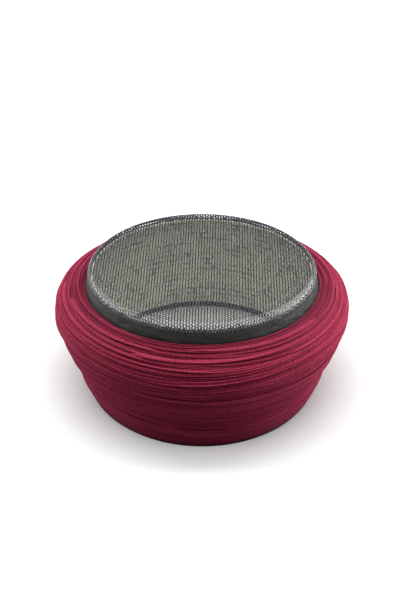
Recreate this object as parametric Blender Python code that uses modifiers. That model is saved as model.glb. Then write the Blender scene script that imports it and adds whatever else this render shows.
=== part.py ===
"""Ready-wound turban: a cloth cap with an open net crown and many turns of cotton wound round it.

Metres, +Z up, +Y towards the back of the head. The origin is on the floor, at the middle of the lower edge.
"""

import math

import bmesh
import bpy
from mathutils import Matrix

# Cap: an oval opening at the lower edge that turns round towards the crown
CAP_WIDTH = 0.1776
CAP_DEPTH = 0.1998
CROWN_WIDTH = 0.1706
LINING_THICKNESS = 0.0010
CLEARANCE = 0.0003

# Heights: the wound cloth's upper edge, and how far the other pieces pass it or each other
WRAP_TOP = 0.0824
BAND_RISE = 0.0091
BAND_BEHIND_WRAP = 0.0064
NET_LAP = 0.0016
NET_RISE = 0.0059
LINING_BELOW_BAND_TOP = 0.0005

# Thin pieces
BAND_THICKNESS = 0.0009
BAND_EDGE_RADIUS = 0.0003
NET_THICKNESS = 0.0008
NET_SHOULDER_RADIUS = 0.0048
NET_COLUMN_PITCH = 0.0122
NET_ROW_PITCH = 0.0146
NET_WEB = 0.0026
BINDING_THICKNESS = 0.0006
BINDING_HEIGHT = 0.0052
BINDING_FOOT = 0.0014
BINDING_ROUNDING = 0.0005

# Heights above the floor that follow
BAND_FOOT = WRAP_TOP - BAND_BEHIND_WRAP
BAND_TOP = WRAP_TOP + BAND_RISE
NET_FOOT = BAND_TOP - NET_LAP
NET_TOP = BAND_TOP + NET_RISE

# Wound cloth: how far it swells past the cap, its thickness at the foot and the depth of its grooves
WRAP_SWELL = 0.0247
WRAP_FOOT_THICKNESS = 0.0014
GROOVE_DEPTH = 0.0013
TURN_WANDER = 0.0022

# Outline of the wound cloth, from its upper edge to its foot
# (share of the wrap's height, share of the swell)
WRAP_SECTIONS = (
    (0.970, 0.490),
    (0.880, 0.885),
    (0.760, 0.990),
    (0.620, 0.866),
    (0.460, 0.685),
    (0.300, 0.425),
    (0.140, 0.280),
)

# Grooves between the turns of cloth, from the upper edge to the foot
# (share of the outline, share of the groove depth, share of the wander, waves round the head, turn of the wave)
GROOVES = (
    (0.065, 0.75, 0.30, 1, 0.10),
    (0.130, 1.00, 0.60, 2, 0.55),
    (0.200, 0.70, 0.90, 1, 0.35),
    (0.265, 0.90, 0.80, 2, 0.80),
    (0.335, 0.65, 1.00, 3, 0.15),
    (0.410, 0.85, 0.90, 1, 0.65),
    (0.485, 0.60, 0.80, 2, 0.25),
    (0.565, 0.75, 1.00, 1, 0.90),
    (0.650, 0.50, 0.80, 2, 0.45),
    (0.735, 0.60, 0.90, 3, 0.70),
    (0.820, 0.45, 0.70, 1, 0.05),
    (0.905, 0.50, 0.40, 2, 0.60),
)

# Fineness of the meshes
COLUMNS = 54
ROWS_IN_A_TURN = 3
CURVE_SAMPLES = 12
SHOULDER_STEPS = 4
MERGE = 0.00001
SMOOTH_ANGLE = math.radians(40)

# (red, green, blue), roughness, metallic
FINISHES = {
    "crimson_cotton": ((0.220, 0.010, 0.035), 0.90, 0.0),
    "khaki_lining": ((0.330, 0.320, 0.230), 0.92, 0.0),
    "charcoal_band": ((0.022, 0.023, 0.020), 0.55, 0.0),
    "grey_net": ((0.150, 0.160, 0.180), 0.35, 0.0),
    "black_tape": ((0.020, 0.020, 0.024), 0.80, 0.0),
}


def cap_reach(height):
    """Half width and half depth of the cap's outer face at a height."""
    if height > WRAP_TOP:
        lean = (height - WRAP_TOP) / (BAND_TOP - WRAP_TOP)
        reach = CAP_WIDTH / 2 + lean * (CROWN_WIDTH - CAP_WIDTH) / 2
        return reach, reach
    oval = 1 - min(max(height / BAND_FOOT, 0), 1)
    return CAP_WIDTH / 2, CAP_WIDTH / 2 + oval * (CAP_DEPTH - CAP_WIDTH) / 2


def on_cap(angle, outward, height):
    """The point at an angle round the head that lies so far outward of the cap's outer face."""
    half_width, half_depth = cap_reach(height)
    return (
        (half_width + outward) * math.cos(angle),
        (half_depth + outward) * math.sin(angle),
        height,
    )


def column_angles():
    return [2 * math.pi * column / COLUMNS for column in range(COLUMNS)]


def smooth_curve(points):
    """Points along a smooth curve through the given ones."""
    ends = [points[0]] + list(points) + [points[-1]]
    curve = []
    for before, start, end, after in zip(ends, ends[1:], ends[2:], ends[3:]):
        for sample in range(CURVE_SAMPLES):
            t = sample / CURVE_SAMPLES
            curve.append(
                tuple(
                    0.5 * (2 * b + (c - a) * t + (2 * a - 5 * b + 4 * c - d) * t**2 + (3 * b - a - 3 * c + d) * t**3)
                    for a, b, c, d in zip(before, start, end, after)
                )
            )
    return curve + [points[-1]]


def lengths_along(curve):
    lengths = [0.0]
    for start, end in zip(curve, curve[1:]):
        lengths.append(lengths[-1] + math.dist(start, end))
    return lengths


def point_on(curve, lengths, share):
    """The point at a share of the curve's length, and the direction there that faces out of the cloth."""
    wanted = min(max(share, 0), 1) * lengths[-1]
    span = next(k for k in range(1, len(lengths)) if lengths[k] >= wanted or k == len(lengths) - 1)
    (x0, z0), (x1, z1) = curve[span - 1], curve[span]
    part = (wanted - lengths[span - 1]) / (lengths[span] - lengths[span - 1])
    run = lengths[span] - lengths[span - 1]
    return (x0 + part * (x1 - x0), z0 + part * (z1 - z0)), ((z0 - z1) / run, (x1 - x0) / run)


def groove_share(groove, angle, outline_length):
    """Where a groove runs on the outline at an angle round the head."""
    share, _, wander, waves, turn = groove
    sway = math.sin(waves * angle + 2 * math.pi * turn)
    return share + wander * TURN_WANDER / outline_length * sway


def wrap_inner_line():
    """The wound cloth's inner side, from its foot to its upper edge."""
    over_band = 2 * CLEARANCE + BAND_THICKNESS
    foot = BINDING_FOOT + CLEARANCE
    step = BAND_FOOT - CLEARANCE
    return [
        (CLEARANCE, foot),
        (CLEARANCE, (foot + step) / 2),
        (CLEARANCE, step),
        (over_band, step),
        (over_band, (step + WRAP_TOP) / 2),
    ]


def wrap_outer_curve():
    """The wound cloth's outer side, from its upper edge to its foot."""
    foot = BINDING_FOOT + CLEARANCE
    height = WRAP_TOP - foot
    points = [(2 * CLEARANCE + BAND_THICKNESS, WRAP_TOP)]
    points += [(WRAP_SWELL * swell, foot + height * share) for share, swell in WRAP_SECTIONS]
    points.append((CLEARANCE + WRAP_FOOT_THICKNESS, foot))
    return smooth_curve(points)


def wrap_section(angle, curve, lengths):
    """One closed section of the wound cloth, with a rounded ridge for each turn."""
    stops = [0.0] + [groove_share(groove, angle, lengths[-1]) for groove in GROOVES] + [1.0]
    depths = [0.0] + [GROOVE_DEPTH * groove[1] for groove in GROOVES] + [0.0]
    section = [curve[0]]
    for turn in range(len(stops) - 1):
        for row in range(1, ROWS_IN_A_TURN + 1):
            part = row / ROWS_IN_A_TURN
            share = stops[turn] + part * (stops[turn + 1] - stops[turn])
            (outward, height), (nx, nz) = point_on(curve, lengths, share)
            depth = depths[turn] + part * (depths[turn + 1] - depths[turn])
            proud = depth * (math.sin(math.pi * part) - 0.5)
            if turn == len(stops) - 2 and row == ROWS_IN_A_TURN:
                proud = 0.0
            section.append((outward + proud * nx, height + proud * nz))
    return section + wrap_inner_line()


def binding_section():
    """The tape's section: a foot under the cloth and a leg inside the cap."""
    leg_face = -LINING_THICKNESS - CLEARANCE
    inside = leg_face - BINDING_THICKNESS
    outside = CLEARANCE + WRAP_FOOT_THICKNESS
    return [
        (inside, BINDING_ROUNDING),
        (inside, BINDING_HEIGHT),
        (leg_face, BINDING_HEIGHT),
        (leg_face, BINDING_FOOT),
        (outside, BINDING_FOOT),
        (outside, BINDING_ROUNDING),
        (outside - BINDING_ROUNDING, 0.0),
        (inside + BINDING_ROUNDING, 0.0),
    ]


def new_object(name, finish, fill):
    """A named object whose mesh is filled by a function, with its own material."""
    mesh = bpy.data.meshes.new(name)
    work = bmesh.new()
    fill(work)
    work.to_mesh(mesh)
    work.free()
    obj = bpy.data.objects.new(name, mesh)
    turban.objects.link(obj)
    mesh.materials.append(new_material(name, FINISHES[finish]))
    return obj


def new_material(name, finish):
    colour, roughness, metallic = finish
    material = bpy.data.materials.new(name)
    material.use_nodes = True
    shader = material.node_tree.nodes["Principled BSDF"]
    shader.inputs["Base Color"].default_value = (*colour, 1.0)
    shader.inputs["Roughness"].default_value = roughness
    shader.inputs["Metallic"].default_value = metallic
    material.diffuse_color = (*colour, 1.0)
    return material


def fill_ring(work, section_at):
    """A closed ring lofted through the sections, one for each column."""
    columns = [
        [work.verts.new(on_cap(angle, outward, height)) for outward, height in section_at(angle)]
        for angle in column_angles()
    ]
    for column, here in enumerate(columns):
        there = columns[(column + 1) % COLUMNS]
        for row, corner in enumerate(here):
            after = (row + 1) % len(here)
            work.faces.new((corner, there[row], there[after], here[after]))
    bmesh.ops.recalc_face_normals(work, faces=work.faces)


def fill_profile(work, points):
    """A row of edges in the XZ plane, to be turned about Z."""
    verts = [work.verts.new((radius, 0.0, height)) for radius, height in points]
    for start, end in zip(verts, verts[1:]):
        work.edges.new((start, end))
    return verts


def turn(obj):
    """Turns an object's profile once round the Z axis."""
    screw = obj.modifiers.new("Turn", "SCREW")
    screw.axis = "Z"
    screw.angle = 2 * math.pi
    screw.steps = COLUMNS
    screw.render_steps = COLUMNS
    screw.use_merge_vertices = True
    screw.merge_threshold = MERGE
    screw.use_smooth_shade = True


def make_wrap():
    curve = wrap_outer_curve()
    lengths = lengths_along(curve)
    obj = new_object(
        "wrap",
        "crimson_cotton",
        lambda work: fill_ring(work, lambda angle: wrap_section(angle, curve, lengths)),
    )
    obj.data.shade_smooth()
    return obj


def make_cap_wall():
    """The lining is an open wall from the binding to just below the band's top, with its thickness inward."""
    foot = BINDING_FOOT + CLEARANCE
    top = BAND_TOP - LINING_BELOW_BAND_TOP
    heights = [foot, (foot + BAND_FOOT) / 2, BAND_FOOT, WRAP_TOP, top]

    def fill(work):
        rings = [[work.verts.new(on_cap(angle, 0.0, height)) for angle in column_angles()] for height in heights]
        for lower, upper in zip(rings, rings[1:]):
            for column in range(COLUMNS):
                after = (column + 1) % COLUMNS
                work.faces.new((lower[column], lower[after], upper[after], upper[column]))

    obj = new_object("cap_wall", "khaki_lining", fill)
    shell = obj.modifiers.new("Thickness", "SOLIDIFY")
    shell.thickness = LINING_THICKNESS
    shell.offset = -1
    shell.use_even_offset = True
    obj.data.shade_smooth()
    return obj


def make_crown_band():
    """The band stands on the cap wall and leans in with it above the wound cloth."""
    inner = [(cap_reach(height)[0] + CLEARANCE, height) for height in (BAND_FOOT, WRAP_TOP, BAND_TOP)]
    foot, bend, top = inner
    edge = BAND_EDGE_RADIUS
    outer = BAND_THICKNESS
    loop = [
        (top[0] + outer - edge, top[1]),
        (top[0] + outer, top[1] - edge),
        (bend[0] + outer, bend[1]),
        (foot[0] + outer, foot[1]),
        foot,
        bend,
        (top[0], top[1] - edge),
        (top[0] + edge, top[1]),
    ]

    def fill(work):
        verts = fill_profile(work, loop)
        work.edges.new((verts[-1], verts[0]))

    obj = new_object("crown_band", "charcoal_band", fill)
    turn(obj)
    return obj


def make_net_gaps(reach):
    """Six-sided gaps in columns that run front to back, every other column half a row on, as the knit has them."""
    corner = (NET_ROW_PITCH - NET_WEB) / math.sqrt(3)
    depth = 4 * NET_THICKNESS
    flat_side_back = Matrix.Rotation(math.pi / 6, 4, "Z")
    column_count = int(reach / NET_COLUMN_PITCH)
    row_count = int(reach / NET_ROW_PITCH) + 1
    cutter = bpy.data.meshes.new("net_gaps")
    work = bmesh.new()
    for column in range(-column_count, column_count + 1):
        for row in range(-row_count, row_count + 1):
            x = column * NET_COLUMN_PITCH
            y = (row + (column % 2) / 2) * NET_ROW_PITCH
            if math.hypot(x, y) + corner > reach:
                continue
            bmesh.ops.create_cone(
                work,
                cap_ends=True,
                segments=6,
                radius1=corner,
                radius2=corner,
                depth=depth,
                matrix=Matrix.Translation((x, y, NET_TOP)) @ flat_side_back,
            )
    work.to_mesh(cutter)
    work.free()
    gaps = bpy.data.objects.new("net_gaps", cutter)
    gaps.hide_render = True
    gaps.display_type = "WIRE"
    cutters.objects.link(gaps)
    return gaps


def make_crown_net():
    """The net is a flat crown with a round shoulder and a short side that laps over the band."""
    widest = max(cap_reach(NET_FOOT)[0], cap_reach(BAND_TOP)[0])
    inner_radius = widest + 2 * CLEARANCE + BAND_THICKNESS
    outer_radius = inner_radius + NET_THICKNESS

    def shell_line(radius, top, shoulder):
        line = [(0.0, top)]
        for step in range(SHOULDER_STEPS + 1):
            angle = math.pi / 2 * (1 - step / SHOULDER_STEPS)
            line.append(
                (
                    radius - shoulder + shoulder * math.cos(angle),
                    top - shoulder + shoulder * math.sin(angle),
                )
            )
        return line + [(radius, NET_FOOT)]

    outer = shell_line(outer_radius, NET_TOP, NET_SHOULDER_RADIUS)
    inner = shell_line(inner_radius, NET_TOP - NET_THICKNESS, NET_SHOULDER_RADIUS - NET_THICKNESS)
    obj = new_object("crown_net", "grey_net", lambda work: fill_profile(work, outer + inner[::-1]))
    turn(obj)
    gaps = obj.modifiers.new("Gaps", "BOOLEAN")
    gaps.operation = "DIFFERENCE"
    gaps.object = make_net_gaps(outer_radius - NET_SHOULDER_RADIUS)
    return obj


def make_base_binding():
    section = binding_section()
    obj = new_object("base_binding", "black_tape", lambda work: fill_ring(work, lambda angle: section))
    obj.data.shade_smooth()
    obj.data.set_sharp_from_angle(angle=SMOOTH_ANGLE)
    return obj


for old in list(bpy.data.objects):
    bpy.data.objects.remove(old, do_unlink=True)

turban = bpy.data.collections.new("turban")
bpy.context.scene.collection.children.link(turban)
cutters = bpy.data.collections.new("cutters")
cutters.hide_render = True
bpy.context.scene.collection.children.link(cutters)

make_wrap()
make_cap_wall()
make_crown_band()
make_crown_net()
make_base_binding()
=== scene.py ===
"""Looks of the wound turban: strips of crimson cotton, a charcoal band, a knitted crown and a khaki lining.

Metres, +Z up, +Y towards the back of the head. Lengths along the cloth are in metres too.
"""

import math

import bpy
import numpy as np
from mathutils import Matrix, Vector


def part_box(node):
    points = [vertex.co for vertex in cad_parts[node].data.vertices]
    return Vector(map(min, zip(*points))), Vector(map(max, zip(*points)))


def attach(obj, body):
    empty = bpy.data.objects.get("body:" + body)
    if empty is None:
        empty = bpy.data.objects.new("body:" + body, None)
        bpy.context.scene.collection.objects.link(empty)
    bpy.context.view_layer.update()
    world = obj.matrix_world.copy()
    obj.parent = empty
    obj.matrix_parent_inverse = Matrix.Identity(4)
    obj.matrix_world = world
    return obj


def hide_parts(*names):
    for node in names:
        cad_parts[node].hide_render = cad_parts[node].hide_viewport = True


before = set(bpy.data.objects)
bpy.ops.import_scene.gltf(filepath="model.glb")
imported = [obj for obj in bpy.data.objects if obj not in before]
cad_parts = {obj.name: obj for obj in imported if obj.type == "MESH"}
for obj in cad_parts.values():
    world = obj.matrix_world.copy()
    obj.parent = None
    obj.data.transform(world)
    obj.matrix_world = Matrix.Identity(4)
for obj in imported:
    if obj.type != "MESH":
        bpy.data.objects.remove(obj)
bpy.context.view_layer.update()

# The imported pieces' boxes
wrap_low, wrap_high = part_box("wrap")
cap_low, cap_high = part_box("cap_wall")
band_low, band_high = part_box("crown_band")
net_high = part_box("crown_net")[1]
binding_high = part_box("base_binding")[1]

# The cap's outer face: an oval at the lower edge that turns round towards the crown
CAP_HALF_WIDTH = cap_high[0]
CAP_OVAL = 1.125
CROWN_HALF_WIDTH = 0.0853

# Thicknesses, and the gap kept between pieces
LINING_THICKNESS = 0.0010
BINDING_LEG = 0.0006
CLEARANCE = 0.0003

# The band runs on up behind the foot of the net, with the lining's edge just below its own
BAND_THICKNESS = 0.0009
BAND_TOP = band_high[2] + 0.0011
LINING_TOP = BAND_TOP - 0.0008

# The tape's section round the lower edge: its bevels below, and how far its other corners are eased
BINDING_BEVEL = 0.0005
BINDING_EASE = 0.0003
BINDING_TIP_EASE = 0.0002

# How finely the rings are divided, and how uneven they are
RING_COLUMNS = 360
BAND_WOBBLE = 0.00008
BINDING_WOBBLE = 0.00005
LINING_COLUMNS = 240
LINING_ROWS = 40
LINING_INSET = 0.0001
LINING_RIPPLE = 0.0002

# The wound cloth's outline, from its upper edge to its foot: (share of the height, share of the swell)
WRAP_SWELL = 0.0247
WRAP_FOOT_THICKNESS = 0.0014
WRAP_SECTIONS = (
    (0.970, 0.490),
    (0.880, 0.885),
    (0.760, 0.990),
    (0.620, 0.866),
    (0.460, 0.685),
    (0.300, 0.425),
    (0.140, 0.280),
)

# The main grooves, as in the solids:
# (share of the outline, share of the depth, share of the wander, waves, how far the wave is turned)
GROOVE_DEPTH = 0.0013
TURN_WANDER = 0.0022
GROOVES = (
    (0.065, 0.75, 0.30, 1, 0.10),
    (0.130, 1.00, 0.60, 2, 0.55),
    (0.200, 0.70, 0.90, 1, 0.35),
    (0.265, 0.90, 0.80, 2, 0.80),
    (0.335, 0.65, 1.00, 3, 0.15),
    (0.410, 0.85, 0.90, 1, 0.65),
    (0.485, 0.60, 0.80, 2, 0.25),
    (0.565, 0.75, 1.00, 1, 0.90),
    (0.650, 0.50, 0.80, 2, 0.45),
    (0.735, 0.60, 0.90, 3, 0.70),
    (0.820, 0.45, 0.70, 1, 0.05),
    (0.905, 0.50, 0.40, 2, 0.60),
)

# How each turn of cloth is laid, from the upper edge down:
# (strips side by side, depth of the folds between them)
TURN_STRIPS = (
    (8, 0.00110),
    (8, 0.00130),
    (8, 0.00135),
    (7, 0.00130),
    (7, 0.00110),
    (6, 0.00090),
    (6, 0.00075),
    (6, 0.00068),
    (6, 0.00060),
    (6, 0.00054),
    (5, 0.00050),
    (5, 0.00044),
    (5, 0.00038),
)
STRIP_UNEVENNESS = 0.45
# Shares of a fold's depth: the least, what varies, and how far whole strips stand proud or sunk
FOLD_LEAST = 0.2
FOLD_VARIES = 1.1
STRIP_STANDS_PROUD = 0.40
# A strip narrower than so many folds has shallower ones, down to the least share
FOLDS_TO_A_STRIP = 2.2
LEAST_ROOM = 0.15
# Noise moved by this much, so that more than half of each strip laps over
OVERLAP_LEAN = 0.4
# A strip's section:
# (share of its width, height where it is rounded, height where its lower edge overlaps the next)
STRIP_SECTION = (
    (0.00, -1.00, -1.00),
    (0.07, -0.35, -0.80),
    (0.20, 0.50, -0.35),
    (0.42, 0.85, 0.15),
    (0.66, 0.75, 0.55),
    (0.86, 0.25, 0.90),
    (0.96, -0.45, 0.70),
)
# The rings of wound cloth: (name, first turn, the turn after its last)
WRAP_PIECES = (("wrap_upper", 0, 4), ("wrap_shoulder", 4, 8), ("wrap_lower", 8, 13))
WRAP_COLUMNS = 360
# Folds at least this deep get their painted shade in the hollows and painted highlight on the crests in full
FULL_SHADE_FOLD = 0.0011
WRAP_BACKING = 0.0020
# Painted shade darkens the cloth over this length next to the band
BAND_SHADE_LENGTH = 0.024

# Loose turns that cross the others at a shallow angle, for each piece:
# (how many, from and to share of the outline, lift)
LOOSE_TURNS = ((14, 0.03, 0.25, 0.0008), (8, 0.30, 0.52, 0.0006), (6, 0.60, 0.90, 0.0004))
LOOSE_HALF_WIDTHS = (0.0007, 0.0015)
# Each starts this share of a round on from the last, which spreads them evenly
GOLDEN_SHARE = 0.382
LOOSE_SWEEP = (1.0, 2.6)
LOOSE_SLOPE = (0.008, 0.026)
LOOSE_WANDER = 0.006
LOOSE_STEP = math.radians(1.1)
LOOSE_FEWEST_COLUMNS = 24
# Each end narrows over this angle, to this share of the width, and tucks in this far
LOOSE_TAPER = 0.22
LOOSE_END_WIDTH = 0.25
LOOSE_TUCK = 0.0022
# A loose turn's section: (share of its half width, share of its height), then its underside inside the others
LOOSE_SECTION = ((-1.00, -0.5), (-0.80, 0.35), (-0.30, 0.75), (0.25, 1.0), (0.78, 0.95), (1.00, -0.1))
LOOSE_HEIGHT = 0.55
LOOSE_UNDERSIDE = (0.95, -0.95)
LOOSE_DEPTH = 0.0024
# How strongly a loose turn's height sets its painted shade and painted highlight
LOOSE_FOLD_LIGHT = 1.4

# The knitted crown: tall holes in columns that run front to back, every other column half a row on
NET_COLUMN_PITCH = 0.002135
NET_ROW_PITCH = 0.00257
NET_HOLE_HALF_WIDTH = 0.00061
NET_HOLE_HALF_LENGTH = 0.00115
NET_SQUARENESS = 3.4
NET_THREAD = 0.00058
NET_HOLE_POINTS = 12
# Points of the knit are merged on steps of this size, and none of them lies halfway between two steps
NET_WELD = 1.7e-6
NET_TURN = math.radians(1.25)
# No hole's middle comes nearer to the net's edge than this share of a row
NET_MARGIN = 0.3
# The net's own outline, from its middle to its edge over the band: (radius, how far below the top)
NET_SECTION = (
    (0.0000, 0.0005),
    (0.0300, 0.0004),
    (0.0600, 0.0001),
    (0.0810, 0.0000),
    (0.0846, 0.0007),
    (0.0866, 0.0021),
    (0.0876, 0.0040),
    (0.0878, 0.0055),
    (0.0877, 0.0073),
)
# Towards the edge the holes close up, and where the net turns down its knots get a painted glint
NET_CLOSING_START = 0.078
NET_EDGE_HOLES = 0.70
NET_GLINT_START = 0.0852
NET_GLINT_END = 0.0885
# The pieces of the knit: (name, nearest and furthest from the middle, along the net)
NET_PIECES = (("net_middle", 0.0, 0.056), ("net_outer", 0.056, 0.078), ("net_shoulder", 0.078, 0.0925))

# The view of the photograph
PHOTO_WIDTH = 401
PHOTO_HEIGHT = 601
PHOTO_AXIS_COLUMN = 202.0
PHOTO_BASE_ROW = 369.85
FOCAL_PIXELS = 1391.3
CAMERA_PITCH = math.radians(31.24)
CAMERA_DISTANCE = 1.1188
SENSOR = 36.0

# The floor and what lies on it: half size, brightness, and how far the card is under and the oval over it
FLOOR_HALF_SIZE = 5.6
FLOOR_BRIGHTNESS = 0.90
CARD_BRIGHTNESS = 0.22
CARD_DROP = 0.0004
INNER_FLOOR_RISE = 0.0001
INNER_FLOOR_CORNERS = 96

# Soft lights: (name, place, width and depth, watts), all turned towards the middle but the sky
OVERHEAD = ("overhead", (0.0, 0.1, 1.9), (1.6, 1.3), 35)
LEFT = ("left", (-1.25, 0.55, 0.95), (1.6, 1.2), 38)
RIGHT = ("right", (1.25, 0.48, 0.97), (1.6, 1.2), 62)
SKY = ("sky", (0.0, 1.0, 1.5), (7.0, 3.6), 109)
ABOVE = ("above", (0.0, 0.4, 1.9), (3.0, 0.4), 20)
INSIDE = ("inside", (0.0, -0.5, 1.5), (1.2, 0.8), 19)
LIT_MIDDLE = (0.0, 0.0, 0.05)
UNDER_SKY = (0.0, 1.0, 0.0)
SURROUNDINGS = 0.22

rng = np.random.default_rng(21)


# Geometry helpers

def grid_patch(points, along, across, attributes=None, closed_rows=False, closed_columns=True):
    """Faces for points[row, column], with rows going down the outside and columns counter-clockwise.

    along[row, column] and across[row, column] are lengths on the cloth, for the UV map.
    """
    rows, columns = points.shape[:2]
    row = np.arange(rows if closed_rows else rows - 1)[:, None]
    column = np.arange(columns if closed_columns else columns - 1)[None, :]
    below = (row + 1) % rows
    beside = (column + 1) % columns
    corners = ((row, column), (below, column), (below, beside), (row, beside))
    faces = np.stack(np.broadcast_arrays(*[r * columns + c for r, c in corners]), axis=-1)
    around = along[:, -1:] + (along[:, -1:] - along[:, -2:-1])
    u = np.concatenate([along, around], axis=1)
    v = np.concatenate([across, across[:, :1]], axis=1)
    corners = ((row, column), (below, column), (below, column + 1), (row, column + 1))
    uv = np.stack([np.stack([u[r, c], v[r, c]], axis=-1) for r, c in corners], axis=2)
    numbers = {key: values.reshape(-1) for key, values in (attributes or {}).items()}
    return points.reshape(-1, 3), faces.reshape(-1, 4), uv.reshape(-1, 2), numbers


def new_piece(name, *patches, smooth=True):
    """One mesh object from patches of (points, faces, UV for each face corner, numbers for each point)."""
    starts = np.cumsum([0] + [len(patch[0]) for patch in patches])
    points = np.concatenate([patch[0] for patch in patches])
    faces = np.concatenate([patch[1] + start for patch, start in zip(patches, starts)])
    uv = np.concatenate([patch[2] for patch in patches])
    mesh = bpy.data.meshes.new(name)
    count, sides = faces.shape
    mesh.vertices.add(len(points))
    mesh.vertices.foreach_set("co", points.astype(np.float32).ravel())
    mesh.loops.add(count * sides)
    mesh.loops.foreach_set("vertex_index", faces.astype(np.int32).ravel())
    mesh.polygons.add(count)
    mesh.polygons.foreach_set("loop_start", np.arange(0, count * sides, sides, dtype=np.int32))
    mesh.update(calc_edges=True)
    mesh.uv_layers.new(name="UVMap").data.foreach_set("uv", uv.astype(np.float32).ravel())
    for key in patches[0][3]:
        numbers = np.concatenate([patch[3][key] for patch in patches])
        mesh.attributes.new(key, "FLOAT", "POINT").data.foreach_set("value", numbers.astype(np.float32))
    if smooth:
        mesh.shade_smooth()
    obj = bpy.data.objects.new(name, mesh)
    bpy.context.scene.collection.objects.link(obj)
    return obj


def ring_of_angles(columns):
    """Angles spread evenly round the head, from the right side on towards the back."""
    return 2 * math.pi * np.arange(columns) / columns


def waves_round(count, columns, highest, fall):
    """Smooth noise that closes round the head: one row for each of count, with unit spread."""
    angle = ring_of_angles(columns)
    total = np.zeros((count, columns))
    for harmonic in range(1, highest + 1):
        phase = rng.uniform(0, 2 * math.pi, (count, 1))
        weight = rng.normal(0, harmonic**-fall, (count, 1))
        total += weight * np.sin(harmonic * angle[None, :] + phase)
    return total / total.std(axis=1, keepdims=True)


def ease(values):
    """Takes noise of unit spread to shares from 0 to 1."""
    steepness = 1.7
    return 1 / (1 + np.exp(-steepness * values))


def cap_half_sizes(height):
    """Half width and half depth of the cap's outer face at each height."""
    oval = 1 - np.clip(height / band_low[2], 0, 1)
    lean = np.clip((height - wrap_high[2]) / (band_high[2] - wrap_high[2]), 0, None)
    width = CAP_HALF_WIDTH + lean * (CROWN_HALF_WIDTH - CAP_HALF_WIDTH)
    return width, width * (1 + oval * (CAP_OVAL - 1))


def on_cap(angle, outward, height):
    """Points at an angle round the head, so far outward of the cap's outer face."""
    half_width, half_depth = cap_half_sizes(height)
    x = (half_width + outward) * np.cos(angle)
    y = (half_depth + outward) * np.sin(angle)
    return np.stack(np.broadcast_arrays(x, y, height), axis=-1)


def smooth_curve(points, samples=16):
    """A smooth curve through a list of points."""
    points = np.array([points[0], *points, points[-1]])
    t = (np.arange(samples) / samples)[:, None]
    spans = [
        0.5 * (2 * b + (c - a) * t + (2 * a - 5 * b + 4 * c - d) * t**2 + (3 * b - a - 3 * c + d) * t**3)
        for a, b, c, d in zip(points, points[1:], points[2:], points[3:])
    ]
    return np.concatenate([*spans, points[-1:]])


class Outline:
    """A smooth line through (outward, height) points, measured by its length, with the side it faces."""

    def __init__(self, points):
        self.curve = smooth_curve(points)
        steps = np.linalg.norm(np.diff(self.curve, axis=0), axis=1)
        self.lengths = np.concatenate([[0], np.cumsum(steps)])
        self.length = self.lengths[-1]
        slope = np.gradient(self.curve, self.lengths, axis=0)
        normal = np.stack([-slope[:, 1], slope[:, 0]], axis=1)
        self.normal = normal / np.linalg.norm(normal, axis=1, keepdims=True)

    def at(self, place, proud):
        """(outward, height) at a length along the line, proud of it by another length."""
        outward, height, out_part, up_part = (
            np.interp(place, self.lengths, values)
            for values in (self.curve[:, 0], self.curve[:, 1], self.normal[:, 0], self.normal[:, 1])
        )
        return outward + proud * out_part, height + proud * up_part


# Wound cloth

def wrap_outline():
    """The outer line of the wound cloth, from its upper edge beside the band to its foot."""
    foot, top = wrap_low[2], wrap_high[2]
    points = [(2 * CLEARANCE + BAND_THICKNESS, top)]
    points += [(WRAP_SWELL * swell, foot + (top - foot) * share) for share, swell in WRAP_SECTIONS]
    points.append((CLEARANCE + WRAP_FOOT_THICKNESS, foot))
    return Outline(points)


def main_grooves(angle, outline):
    """Shares of the outline where the turns of cloth meet, and how deep each groove is."""
    shares = [np.zeros_like(angle)]
    depths = [0.0]
    for share, depth, wander, waves, turn in GROOVES:
        wave = np.sin(waves * angle + 2 * math.pi * turn)
        shares.append(share + wander * TURN_WANDER / outline.length * wave)
        depths.append(depth * GROOVE_DEPTH)
    return np.array(shares + [np.ones_like(angle)]), np.array(depths + [0.0])


def turn_rows(turn, upper, lower, groove_depths, outline):
    """Rows of one turn of cloth: its strips narrow, widen, and overlap the next one here and there."""
    strips, fold = TURN_STRIPS[turn]
    widths = np.exp(STRIP_UNEVENNESS * waves_round(strips, WRAP_COLUMNS, 7, 0.5))
    widths = widths / widths.sum(axis=0)
    edges = np.concatenate([np.zeros((1, WRAP_COLUMNS)), np.cumsum(widths, axis=0)])
    depth_noise = FOLD_LEAST + FOLD_VARIES * ease(waves_round(strips + 1, WRAP_COLUMNS, 9, 0.35))
    overlap = ease(waves_round(strips, WRAP_COLUMNS, 3, 0.5) + OVERLAP_LEAN)
    stands_proud = STRIP_STANDS_PROUD * fold * waves_round(strips, WRAP_COLUMNS, 4, 0.6)
    tones = rng.uniform(0, 1, strips)
    rows = []
    for strip in range(strips):
        span = edges[strip + 1] - edges[strip]
        width = span * (lower - upper) * outline.length
        room = np.clip(width / (FOLDS_TO_A_STRIP * fold), LEAST_ROOM, 1.0)
        for t, rounded, lapped in STRIP_SECTION:
            place = edges[strip] + t * span
            height = (1 - overlap[strip]) * rounded + overlap[strip] * lapped
            below = 0.5 - 0.5 * math.cos(math.pi * t)
            depth = fold * room * ((1 - below) * depth_noise[strip] + below * depth_noise[strip + 1])
            bulge = (1 - place) * groove_depths[turn] + place * groove_depths[turn + 1]
            proud = bulge * (np.sin(math.pi * place) - 0.5) + height * depth
            proud = proud + stands_proud[strip] * math.sin(math.pi * t)
            # Painted shade in the hollows between strips and painted highlight on their crests, set by the
            # height
            painted_fold_light = height * min(1, fold / FULL_SHADE_FOLD)
            tone = np.full(WRAP_COLUMNS, tones[strip])
            rows.append((upper + place * (lower - upper), proud, tone, painted_fold_light))
    return rows


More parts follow.
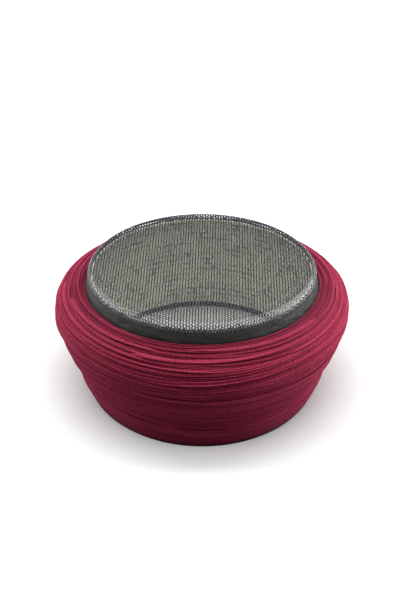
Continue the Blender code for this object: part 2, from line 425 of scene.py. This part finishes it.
def end_caps(along, across):
    """Faces over both ends of a tube of eight closed rows, with their UV map."""
    columns = along.shape[1]
    first = np.array([(1, 0, 7, 6), (2, 1, 6, 5), (3, 2, 5, 4)]) * columns
    last = first[:, ::-1] + columns - 1
    faces = np.concatenate([first, last])
    uv = np.stack([along.reshape(-1), across.reshape(-1)], axis=1)[faces]
    return faces, uv.reshape(-1, 2)


def loose_turn(start, sweep, share, slope, half_width, lift, outline):
    """A narrow turn over the others, from an angle round a sweep, with ends that taper and tuck under."""
    columns = max(LOOSE_FEWEST_COLUMNS, int(sweep / LOOSE_STEP))
    angle = start + sweep * np.arange(columns) / (columns - 1)
    from_end = np.minimum(angle - start, start + sweep - angle)
    taper = np.clip(from_end / LOOSE_TAPER, 0, 1)
    taper = taper * taper * (3 - 2 * taper)
    phase = rng.uniform(0, 2 * math.pi, 2)
    centre = share + slope * (angle - start - sweep / 2) + LOOSE_WANDER * np.sin(1.7 * angle + phase[0])
    narrowed = LOOSE_END_WIDTH + (1 - LOOSE_END_WIDTH) * taper
    half = half_width * narrowed * (1 + 0.3 * np.sin(2.3 * angle + phase[1])) / outline.length
    raised = lift * taper - LOOSE_TUCK * (1 - taper)
    crosswise = np.array([place for place, _ in LOOSE_SECTION] + [*LOOSE_UNDERSIDE])[:, None]
    heights = [LOOSE_HEIGHT * lift * high for _, high in LOOSE_SECTION]
    height = np.array(heights + [-LOOSE_DEPTH] * len(LOOSE_UNDERSIDE))[:, None]
    shares = np.clip(centre + crosswise * half, 0, 1)
    outward, up = outline.at(shares * outline.length, raised + height)
    points = on_cap(np.broadcast_to(angle, shares.shape), outward, up)
    along = np.broadcast_to(angle * (CAP_HALF_WIDTH + WRAP_SWELL), shares.shape)
    tone = np.full(shares.shape, rng.uniform(0.2, 1))
    # The height sets the painted shade and painted highlight, darkest on the underside
    numbers = {"tone": tone, "painted_fold_light": height / lift * LOOSE_FOLD_LIGHT + 0 * shares}
    across = shares * outline.length
    points, faces, uv, numbers = grid_patch(
        points, along, across, numbers, closed_rows=True, closed_columns=False
    )
    cap_faces, cap_uv = end_caps(along, across)
    return points, np.concatenate([faces, cap_faces]), np.concatenate([uv, cap_uv]), numbers


def loose_turns(piece, outline):
    """The loose turns of one piece, spread down it and round the head."""
    count, first, last, lift = LOOSE_TURNS[piece]
    patches = []
    for number in range(count):
        share = first + (last - first) * (number + rng.uniform(0.2, 0.8)) / count
        start = 2 * math.pi * ((number * GOLDEN_SHARE) % 1) + rng.uniform(-0.3, 0.3)
        sweep = rng.uniform(*LOOSE_SWEEP)
        slope = rng.choice([-1, 1]) * rng.uniform(*LOOSE_SLOPE)
        half_width = rng.uniform(*LOOSE_HALF_WIDTHS)
        patches.append(loose_turn(start, sweep, share, slope, half_width, lift, outline))
    return patches


def make_wrap():
    """The wound cloth in three rings, each with its loose turns over it."""
    outline = wrap_outline()
    angle = ring_of_angles(WRAP_COLUMNS)
    grooves, groove_depths = main_grooves(angle, outline)
    turns = [
        turn_rows(turn, grooves[turn], grooves[turn + 1], groove_depths, outline)
        for turn in range(len(TURN_STRIPS))
    ]
    level = np.zeros(WRAP_COLUMNS)
    turns.append([(level + 1, level, level + 0.5, level)])
    made = []
    for piece, (name, first, last) in enumerate(WRAP_PIECES):
        rows = [row for turn in range(first, last) for row in turns[turn]] + [turns[last][0]]
        share, proud, tone, painted_fold_light = (np.array([row[k] for row in rows]) for k in range(4))
        points = on_cap(angle, *outline.at(share * outline.length, proud))
        ends = [-1, 0]
        backing = on_cap(
            angle, *outline.at(share[ends] * outline.length, proud[ends] - WRAP_BACKING)
        )
        if last == len(TURN_STRIPS):
            backing[0] = on_cap(angle, CLEARANCE, wrap_low[2])
        if first == 0:
            backing[1] = on_cap(angle, 2 * CLEARANCE + BAND_THICKNESS, wrap_high[2] - WRAP_BACKING)
        share, tone, painted_fold_light = (np.concatenate([values, values[ends]]) for values in (share, tone, painted_fold_light))
        along = np.broadcast_to(angle * (CAP_HALF_WIDTH + WRAP_SWELL), share.shape)
        numbers = {"tone": tone, "painted_fold_light": painted_fold_light}
        points = np.concatenate([points, backing])
        ring = grid_patch(points, along, share * outline.length, numbers, closed_rows=True)
        made.append(new_piece(name, ring, *loose_turns(piece, outline)))
    return made


# Knitted crown

def net_rings():
    """Rings of points round one hole, from the threads' middle line on top to their underside.

    Two arrays of (along x, along y, height): the first stays, and the second grows with the hole.
    """
    third, half = NET_COLUMN_PITCH / 3, NET_ROW_PITCH / 2
    corners = np.array(
        [(2 * third, 0), (third, half), (-third, half), (-2 * third, 0), (-third, -half), (third, -half)]
    )
    rim = np.empty((NET_HOLE_POINTS, 2))
    rim[0::2] = corners
    rim[1::2] = (corners + np.roll(corners, -1, axis=0)) / 2
    turn = np.arctan2(rim[:, 1], rim[:, 0])
    hole = np.stack([np.cos(turn), np.sin(turn)], axis=1)
    hole = np.sign(hole) * np.abs(hole) ** (2 / NET_SQUARENESS)
    hole = hole * (NET_HOLE_HALF_WIDTH, NET_HOLE_HALF_LENGTH)
    knot = np.tile([1.0, 0.8], NET_HOLE_POINTS // 2) * NET_THREAD / 2
    # (share of the way from the middle line to the hole, height)
    rings = ((0.0, 1.0), (0.75, 0.85), (1.0, 0.0), (0.0, -1.0))
    stays = np.array([np.column_stack([(1 - share) * rim, height * knot]) for share, height in rings])
    grows = np.array([np.column_stack([share * hole, 0 * knot]) for share, height in rings])
    return stays, grows


def make_net():
    """The knit in three pieces, laid over the crown's flat top, round its shoulder and down over the band.

    Its number "glint" grows to 1 on the knots where the net has turned down, and is 0 everywhere else; it
    places a painted glint on those knots.
    """
    top = net_high[2] - NET_THREAD / 2
    outline = Outline([(radius, top - drop) for radius, drop in NET_SECTION])
    reach = outline.length - NET_ROW_PITCH * NET_MARGIN
    far = int(reach / NET_COLUMN_PITCH) + 2
    column, row = np.meshgrid(np.arange(-far, far + 1), np.arange(-far, far + 1))
    across, along = column * NET_COLUMN_PITCH, (row + column % 2 / 2) * NET_ROW_PITCH
    centres = np.stack([across, along], axis=-1).reshape(-1, 2)
    distance = np.hypot(centres[:, 0], centres[:, 1])
    stays, grows = net_rings()
    closing = np.clip((distance - NET_CLOSING_START) / (reach - NET_CLOSING_START), 0, 1)
    opened = 1 - (1 - NET_EDGE_HOLES) * closing
    made = []
    for name, nearest, furthest in NET_PIECES:
        within = (distance >= nearest) & (distance < min(furthest, reach))
        chosen = centres[within]
        flat = stays + opened[within][:, None, None, None] * grows
        flat[..., :2] += chosen[:, None, None, :]
        steps = np.round(flat.reshape(-1, 3) / NET_WELD).astype(np.int64)
        _, first, shared = np.unique(steps, axis=0, return_index=True, return_inverse=True)
        index = shared.reshape(len(chosen), len(stays), NET_HOLE_POINTS)
        after = np.roll(index, -1, axis=2)
        bands = [
            np.stack([index[:, a], after[:, a], after[:, a + 1], index[:, a + 1]], axis=-1)
            for a in range(len(stays) - 1)
        ]
        edge = np.stack([after[:, 0], index[:, 0], index[:, -1], after[:, -1]], axis=-1).reshape(-1, 4)
        pairs = np.sort(edge[:, :2], axis=1)
        _, same, uses = np.unique(pairs, axis=0, return_inverse=True, return_counts=True)
        outer_edge = edge[uses[same.reshape(-1)] == 1]
        faces = np.concatenate([*[band.reshape(-1, 4) for band in bands], outer_edge])
        u, v, raised = flat.reshape(-1, 3)[first].T
        uv = np.stack([u, v], axis=1)[faces].reshape(-1, 2)
        cosine, sine = math.cos(NET_TURN), math.sin(NET_TURN)
        u, v = u * cosine + v * sine, v * cosine - u * sine
        away = np.hypot(u, v)
        radius, height = outline.at(np.minimum(away, outline.length), raised)
        scale = radius / np.maximum(away, 1e-9)
        points = np.stack([u * scale, v * scale, height], axis=-1)
        turned = np.clip((away - NET_GLINT_START) / (NET_GLINT_END - NET_GLINT_START), 0, 1)
        on_knot = ((first // NET_HOLE_POINTS) % len(stays) == 0) & (first % 2 == 0)
        made.append(new_piece(name, (points, faces, uv, {"glint": turned * on_knot})))
    return made


# Lining, band and binding

def make_lining():
    """The cap's cloth wall, a thin closed ring with slight unevenness."""
    columns, rows = LINING_COLUMNS, LINING_ROWS
    angle = ring_of_angles(columns)
    heights = np.linspace(cap_low[2], LINING_TOP, rows)[:, None]
    ripple = np.cumsum(waves_round(rows, columns, 12, 0.3), axis=0)
    ripple = ripple / np.sqrt(np.arange(1, rows + 1))[:, None]
    ripple = LINING_RIPPLE * np.clip(ripple, -1.5, 1)
    outer = on_cap(angle, -LINING_INSET + 0 * ripple, heights[::-1] + 0 * ripple)
    inner = on_cap(angle, -LINING_THICKNESS + ripple, heights + 0 * ripple)
    along = np.broadcast_to(angle * CAP_HALF_WIDTH, (2 * rows, columns))
    across = np.concatenate([heights[::-1], heights]) * np.ones((1, columns))
    ring = grid_patch(np.concatenate([outer, inner]), along, across, closed_rows=True)
    return new_piece("lining", ring)


def ring_from_section(name, section, wobble):
    """A closed ring from a section of (outward, height) points, with a slight waviness."""
    angle = ring_of_angles(RING_COLUMNS)
    section = np.array(section)
    outward = section[:, :1] + wobble * waves_round(1, RING_COLUMNS, 9, 0.4)
    points = on_cap(angle, outward, section[:, 1:] + 0 * outward)
    steps = np.linalg.norm(np.diff(section, axis=0), axis=1)
    across = np.concatenate([[0], np.cumsum(steps)])[:, None] * np.ones((1, RING_COLUMNS))
    along = np.broadcast_to(angle * CAP_HALF_WIDTH, across.shape)
    return new_piece(name, grid_patch(points, along, across, closed_rows=True))


def make_band():
    """The smooth band round the crown, with a soft rolled upper edge."""
    inner, outer = CLEARANCE, CLEARANCE + BAND_THICKNESS
    foot, bend = band_low[2], wrap_high[2]
    edge = BAND_THICKNESS / 2
    section = [(inner + edge, BAND_TOP), (outer - edge / 3, BAND_TOP - edge / 3), (outer, BAND_TOP - edge)]
    section += [(outer, bend + (BAND_TOP - edge - bend) * share) for share in (0.75, 0.5, 0.25, 0.0)]
    section += [(outer, (foot + bend) / 2), (outer, foot)]
    section += [(inner, foot), (inner, bend), (inner, BAND_TOP - edge)]
    return ring_from_section("band", section, BAND_WOBBLE)


def make_binding():
    """The narrow tape round the lower edge, under the cloth and up inside the cap."""
    leg_face = -LINING_THICKNESS - CLEARANCE
    inside = leg_face - BINDING_LEG
    outside = CLEARANCE + WRAP_FOOT_THICKNESS
    foot = wrap_low[2] - CLEARANCE
    top = binding_high[2]
    corner, eased = BINDING_BEVEL, BINDING_EASE
    section = [(inside + BINDING_TIP_EASE, top), (leg_face, top), (leg_face, foot), (outside - eased, foot)]
    section += [(outside, foot - eased), (outside, corner), (outside - corner, 0.0)]
    section += [(inside + corner, 0.0), (inside, corner), (inside, top / 2), (inside, top - eased)]
    return ring_from_section("binding", section, BINDING_WOBBLE)


# Materials

class Nodes:
    """Short calls for building one material's nodes."""

    def __init__(self, name):
        self.material = bpy.data.materials.new(name)
        self.material.use_nodes = True
        self.tree = self.material.node_tree
        self.shader = self.tree.nodes["Principled BSDF"]

    def add(self, kind, **settings):
        node = self.tree.nodes.new(kind)
        for key, value in settings.items():
            setattr(node, key, value)
        return node

    def join(self, output, socket):
        self.tree.links.new(output, socket)

    def value(self, node, **sockets):
        for key, value in sockets.items():
            node.inputs[key.replace("_", " ")].default_value = value
        return node

    def cloth_place(self, along, across):
        """The UV map in metres, scaled so that one unit is the given length along and across the cloth."""
        uv = self.add("ShaderNodeUVMap", uv_map="UVMap")
        scale = self.add("ShaderNodeMapping")
        scale.inputs["Scale"].default_value = (1 / along, 1 / across, 1)
        self.join(uv.outputs["UV"], scale.inputs["Vector"])
        return scale.outputs["Vector"]

    def noise(self, place, scale, detail=2.0, roughness=0.5):
        node = self.add("ShaderNodeTexNoise")
        self.value(node, Scale=scale, Detail=detail, Roughness=roughness)
        self.join(place, node.inputs["Vector"])
        return node.outputs["Fac"]

    def bands(self, place, direction):
        node = self.add("ShaderNodeTexWave", bands_direction=direction)
        self.value(node, Scale=1 / 3.2, Distortion=0.6, Detail=1.0)
        self.join(place, node.inputs["Vector"])
        return node.outputs["Fac"]

    def math(self, operation, first, second):
        node = self.add("ShaderNodeMath", operation=operation)
        for socket, given in zip(node.inputs, (first, second)):
            if isinstance(given, (int, float)):
                socket.default_value = given
            else:
                self.join(given, socket)
        return node.outputs[0]

    def ramp(self, factor, stops):
        node = self.add("ShaderNodeValToRGB")
        elements = node.color_ramp.elements
        while len(elements) < len(stops):
            elements.new(0.5)
        for element, (position, colour) in zip(elements, stops):
            element.position = position
            element.color = (*colour, 1)
        self.join(factor, node.inputs["Fac"])
        return node.outputs["Color"]

    def mix(self, factor, first, second, blend="MIX"):
        """Colours mixed by a factor; sockets 0, 6 and 7 are the colour mix's own."""
        node = self.add("ShaderNodeMix", data_type="RGBA", blend_type=blend)
        for socket, given in zip((node.inputs[0], node.inputs[6], node.inputs[7]), (factor, first, second)):
            if isinstance(given, tuple):
                socket.default_value = (*given, 1)
            elif isinstance(given, (int, float)):
                socket.default_value = given
            else:
                self.join(given, socket)
        return node.outputs[2]

    def bump(self, height, distance, strength=1.0):
        node = self.add("ShaderNodeBump")
        self.value(node, Strength=strength, Distance=distance)
        self.join(height, node.inputs["Height"])
        self.join(node.outputs["Normal"], self.shader.inputs["Normal"])


def crimson_cotton():
    """Crinkled cotton: uneven dye, painted highlight on the crests, painted shade in the hollows between
    strips, and painted shade over all of it next to the band.
    """
    n = Nodes("crimson_cotton")
    n.value(n.shader, Roughness=0.9, Sheen_Weight=0.14, Sheen_Roughness=0.5, Specular_IOR_Level=0.08)
    n.shader.inputs["Sheen Tint"].default_value = (1.0, 0.25, 0.50, 1)
    tone = n.add("ShaderNodeAttribute", attribute_name="tone").outputs["Fac"]
    painted_fold_light = n.add("ShaderNodeAttribute", attribute_name="painted_fold_light").outputs["Fac"]
    streaks = n.noise(n.cloth_place(0.022, 0.0009), 1.0, 3.0, 0.6)
    grain = n.noise(n.cloth_place(0.0016, 0.0008), 1.0, 3.0, 0.6)
    blotch = n.noise(n.cloth_place(0.040, 0.012), 1.0, 2.0)
    shade = n.math("ADD", n.math("MULTIPLY", tone, 0.25), n.math("MULTIPLY", streaks, 0.50))
    shade = n.math("ADD", shade, n.math("MULTIPLY", blotch, 0.25))
    dyes = ((0.28, (0.155, 0.0095, 0.025)), (0.50, (0.222, 0.0160, 0.040)), (0.74, (0.300, 0.026, 0.062)))
    colour = n.ramp(shade, dyes)
    grains = n.ramp(grain, ((0.32, (0.44, 0.36, 0.39)), (0.68, (1.46, 1.58, 1.55))))
    colour = n.mix(0.9, colour, grains, "MULTIPLY")
    # Painted shade in the hollows and painted highlight on the crests, from the strips' height
    painted_fold_stops = (
        (0.0, (0.10, 0.03, 0.06)),
        (0.32, (0.68, 0.56, 0.62)),
        (0.56, (0.97, 0.93, 0.95)),
        (0.90, (1.25, 1.36, 1.34)),
    )
    painted_fold_light = n.math("ADD", n.math("MULTIPLY", painted_fold_light, 0.5), 0.5)
    colour = n.mix(1.0, colour, n.ramp(painted_fold_light, painted_fold_stops), "MULTIPLY")
    # Painted shade: the cloth is darker over a short length next to the band
    from_band = n.add("ShaderNodeSeparateXYZ")
    n.join(n.cloth_place(1.0, BAND_SHADE_LENGTH), from_band.inputs["Vector"])
    painted_band_shade = n.ramp(from_band.outputs["Y"], ((0.0, (0.52, 0.44, 0.47)), (1.0, (1.0, 1.0, 1.0))))
    colour = n.mix(1.0, colour, painted_band_shade, "MULTIPLY")
    n.join(colour, n.shader.inputs["Base Color"])
    thread_place = n.cloth_place(0.00042, 0.00036)
    weave = n.math("ADD", n.bands(thread_place, "X"), n.bands(thread_place, "Y"))
    crinkles = n.math("ADD", grain, n.math("MULTIPLY", streaks, 1.5))
    height = n.math("ADD", n.math("MULTIPLY", weave, 0.3), crinkles)
    n.bump(height, 0.00024, 0.9)
    return n.material


def khaki_cloth():
    """A pale khaki canvas with slubs and faint darker lines in steps, as in brickwork."""
    n = Nodes("khaki_cloth")
    n.value(n.shader, Roughness=0.95, Specular_IOR_Level=0.15)
    place = n.cloth_place(0.0105, 0.0105)
    shifted = n.add("ShaderNodeVectorMath", operation="ADD")
    n.join(place, shifted.inputs[0])
    n.join(n.math("MULTIPLY", n.noise(place, 2.0), 0.25), shifted.inputs[1])
    bricks = n.add("ShaderNodeTexBrick")
    n.value(bricks, Scale=1.0, Mortar_Size=0.065, Mortar_Smooth=0.4, Brick_Width=1.0, Row_Height=0.5)
    bricks.inputs["Color1"].default_value = (1.0, 1.0, 1.0, 1)
    bricks.inputs["Color2"].default_value = (0.90, 0.90, 0.88, 1)
    bricks.inputs["Mortar"].default_value = (0.15, 0.16, 0.15, 1)
    n.join(shifted.outputs["Vector"], bricks.inputs["Vector"])
    threads = n.noise(n.cloth_place(0.006, 0.0009), 1.0, 3.0)
    slubs = n.ramp(threads, ((0.30, (0.72, 0.71, 0.56)), (0.70, (0.93, 0.92, 0.77))))
    shows = n.ramp(n.noise(place, 0.9, 3.0), ((0.42, (0.0, 0.0, 0.0)), (0.62, (1.0, 1.0, 1.0))))
    colour = n.mix(1.0, slubs, bricks.outputs["Color"], "MULTIPLY")
    colour = n.mix(n.math("MULTIPLY", shows, 0.85), slubs, colour)
    n.join(colour, n.shader.inputs["Base Color"])
    thread_place = n.cloth_place(0.0007, 0.0006)
    n.bump(n.math("ADD", n.bands(thread_place, "X"), n.bands(thread_place, "Y")), 0.0002)
    return n.material


def charcoal_band():
    """Smooth charcoal cloth with soft puckering, with painted shade in the hollows of each pucker and a
    painted highlight on its top.
    """
    n = Nodes("charcoal_band")
    n.value(n.shader, Specular_IOR_Level=0.35)
    puckers_and_painted_light = n.noise(n.cloth_place(0.013, 0.005), 1.0, 3.0)
    grain = n.noise(n.cloth_place(0.0010, 0.0010), 1.0, 3.0)
    # Painted shade and painted highlight: the colour follows the puckering, darker in its hollows and paler
    # on its tops
    colour = n.ramp(puckers_and_painted_light, ((0.30, (0.006, 0.0075, 0.007)), (0.70, (0.024, 0.0260, 0.023))))
    n.join(colour, n.shader.inputs["Base Color"])
    n.join(n.math("ADD", n.math("MULTIPLY", puckers_and_painted_light, 0.2), 0.42), n.shader.inputs["Roughness"])
    n.bump(n.math("ADD", n.math("MULTIPLY", grain, 0.08), puckers_and_painted_light), 0.0014)
    return n.material


def grey_net():
    """Glossy slate-grey filament, with painted glints on the knots where the net has turned down."""
    n = Nodes("grey_net")
    n.value(n.shader, Roughness=0.12, IOR=1.5, Specular_IOR_Level=0.50)
    strands = n.noise(n.cloth_place(0.0009, 0.0004), 1.0, 2.0)
    clouds = n.noise(n.cloth_place(0.012, 0.012), 1.0, 2.0)
    shade = n.math("ADD", n.math("MULTIPLY", strands, 0.7), n.math("MULTIPLY", clouds, 0.3))
    colour = n.ramp(shade, ((0.30, (0.007, 0.008, 0.011)), (0.70, (0.018, 0.020, 0.026))))
    # Painted glint: a light colour mixed in on the knots where the net turns down
    painted_glint_colour = n.ramp(shade, ((0.44, (0.050, 0.060, 0.072)), (0.60, (0.72, 0.77, 0.83))))
    glint = n.add("ShaderNodeAttribute", attribute_name="glint").outputs["Fac"]
    n.join(n.mix(glint, colour, painted_glint_colour), n.shader.inputs["Base Color"])
    n.bump(strands, 0.00010)
    return n.material


def black_tape():
    """Matt black tape with fine ribs."""
    n = Nodes("black_tape")
    n.value(n.shader, Roughness=0.80, Specular_IOR_Level=0.2)
    ribs = n.bands(n.cloth_place(0.0008, 0.0008), "X")
    colour = n.ramp(ribs, ((0.2, (0.010, 0.010, 0.013)), (0.8, (0.030, 0.030, 0.036))))
    n.join(colour, n.shader.inputs["Base Color"])
    n.bump(ribs, 0.0002)
    return n.material


def plain_floor(name, brightness):
    n = Nodes(name)
    n.value(n.shader, Roughness=0.9, Specular_IOR_Level=0.0)
    n.shader.inputs["Base Color"].default_value = (brightness, brightness, brightness, 1)
    return n.material


# Camera, floor and light

def make_camera():
    """A camera with the photograph's view of the turban."""
    camera = bpy.data.objects.new("camera", bpy.data.cameras.new("camera"))
    bpy.context.scene.collection.objects.link(camera)
    camera.data.sensor_fit = "VERTICAL"
    camera.data.sensor_width = SENSOR
    camera.data.sensor_height = SENSOR
    camera.data.lens = FOCAL_PIXELS / PHOTO_HEIGHT * SENSOR
    below_middle = math.atan((PHOTO_BASE_ROW - PHOTO_HEIGHT / 2) / FOCAL_PIXELS)
    slope = CAMERA_PITCH + below_middle
    beside = (PHOTO_AXIS_COLUMN - PHOTO_WIDTH / 2) / FOCAL_PIXELS * CAMERA_DISTANCE
    camera.location = (-beside, -CAMERA_DISTANCE * math.cos(slope), CAMERA_DISTANCE * math.sin(slope))
    camera.rotation_euler = (math.pi / 2 - CAMERA_PITCH, 0, 0)
    bpy.context.scene.camera = camera


def floor_sheet(name, half_width, half_depth, height, brightness, corners=4):
    """A flat sheet with its corners on an oval."""
    angle = ring_of_angles(corners) + math.pi / corners
    points = np.stack([half_width * np.cos(angle), half_depth * np.sin(angle), 0 * angle + height], axis=1)
    sheet = new_piece(name, (points, np.arange(corners)[None, :], points[:, :2], {}), smooth=False)
    sheet.data.materials.append(plain_floor(name, brightness))
    return sheet


def make_floor():
    """A pale floor, an oval of it inside the cap, and a grey card below that throws light up in its place."""
    floor = floor_sheet("floor", FLOOR_HALF_SIZE, FLOOR_HALF_SIZE, 0.0, FLOOR_BRIGHTNESS)
    floor.visible_diffuse = False
    floor.visible_shadow = False
    floor_sheet("card", FLOOR_HALF_SIZE, FLOOR_HALF_SIZE, -CARD_DROP, CARD_BRIGHTNESS)
    inset = LINING_THICKNESS + 2 * CLEARANCE + BINDING_LEG
    half_width, half_depth = cap_half_sizes(0.0)
    floor_sheet(
        "inner_floor",
        half_width - inset,
        half_depth - inset,
        INNER_FLOOR_RISE,
        FLOOR_BRIGHTNESS,
        corners=INNER_FLOOR_CORNERS,
    )
    return floor


def area_light(name, place, size, watts, target=LIT_MIDDLE):
    """A soft light in the shape of a rectangle, turned towards its target."""
    data = bpy.data.lights.new(name, "AREA")
    data.shape = "RECTANGLE"
    data.size, data.size_y = size
    data.energy = watts
    light = bpy.data.objects.new(name, data)
    bpy.context.scene.collection.objects.link(light)
    light.location = place
    across, back, down = np.array(target) - np.array(place)
    tilt = math.atan2(math.hypot(across, back), -down)
    light.rotation_euler = (tilt, 0, math.atan2(back, across) - math.pi / 2)
    return light


def aim(lights, pieces, state):
    """INCLUDE lets these lights reach these pieces alone, and EXCLUDE all but these, as studio screens do."""
    aimed = bpy.data.collections.new("aimed")
    for piece in pieces:
        aimed.objects.link(piece)
    for entry in aimed.collection_objects:
        entry.light_linking.link_state = state
    for light in lights:
        light.light_linking.receiver_collection = aimed


def make_lights(floor, lining):
    """Lights for the floor alone, for the lining alone and for the rest, and even surroundings."""
    aim([area_light(*OVERHEAD)], [floor], "EXCLUDE")
    aim([area_light(*LEFT), area_light(*RIGHT)], [floor, lining], "EXCLUDE")
    aim([area_light(*SKY, target=UNDER_SKY), area_light(*ABOVE)], [floor], "INCLUDE")
    aim([area_light(*INSIDE)], [lining], "INCLUDE")
    world = bpy.data.worlds.new("studio")
    world.use_nodes = True
    background = world.node_tree.nodes["Background"]
    background.inputs["Color"].default_value = (1, 1, 1, 1)
    background.inputs["Strength"].default_value = SURROUNDINGS
    bpy.context.scene.world = world
    bpy.context.scene.view_settings.view_transform = "Standard"


def dress(piece, material, node):
    """Gives a piece its material and its body, and hides the solid that it stands for."""
    piece.data.materials.append(material)
    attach(piece, "root")
    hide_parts(node)


make_camera()
floor = make_floor()

cotton = crimson_cotton()
for piece in make_wrap():
    dress(piece, cotton, "wrap")

filament = grey_net()
for piece, (name, nearest, furthest) in zip(make_net(), NET_PIECES):
    dress(piece, filament, "crown_net")
    piece.visible_shadow = False

lining = make_lining()
dress(lining, khaki_cloth(), "cap_wall")
make_lights(floor, lining)
band = make_band()
dress(band, charcoal_band(), "crown_band")
binding = make_binding()
dress(binding, black_tape(), "base_binding")
